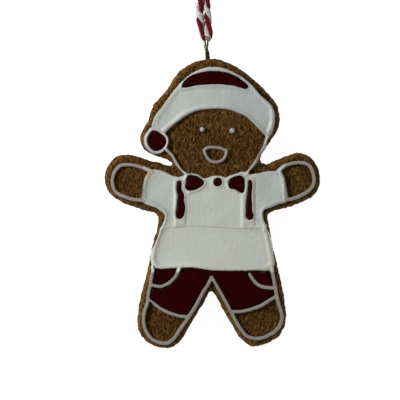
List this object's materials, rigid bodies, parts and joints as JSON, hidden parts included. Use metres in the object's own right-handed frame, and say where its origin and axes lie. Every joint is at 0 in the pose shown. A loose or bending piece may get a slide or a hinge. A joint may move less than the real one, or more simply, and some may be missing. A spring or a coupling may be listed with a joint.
{
  "type": "gingerbread man ornament",
  "caption": "Flat painted gingerbread figure in a winter hat, shirt, braces and shorts, with raised piping, a wire eye at the head and a twisted hanging cord tied in a knot",
  "frame": {"origin": "under the middle of the figure with its wire eye, on the surface that its flat back lies on", "axes": "+Z out of the decorated face, +Y towards the head and the hanging cord, +X towards the side away from the hat's bobble"},
  "size_m": [0.0644, 0.17, 0.0077],
  "materials": {
    "crust": "matt brown paint over cast resin, pitted like baked crust",
    "white_paint": "satin off-white paint with softly rounded ridges",
    "line_paint": "satin greyed white paint on thin piped lines",
    "red_paint": "glossy dark red paint",
    "wire": "drawn steel wire, a little tarnished",
    "cord": "twisted cotton cord of one red and one white strand"
  },
  "bodies": {
    "root": {"slab": "crust", "icing": "white_paint", "mouth": "line_paint", "eye_left": "white_paint", "eye_right": "white_paint", "hat_red": "red_paint", "bobble_red": "red_paint", "bow_left": "red_paint", "bow_right": "red_paint", "bow_button": "red_paint", "brace_left": "red_paint", "brace_right": "red_paint", "pocket_left": "red_paint", "shorts": "red_paint", "pocket_right": "red_paint", "wire_eye": "wire", "cord_left": "cord", "cord_right": "cord", "cord_knot": "cord"}
  },
  "joints": []
}
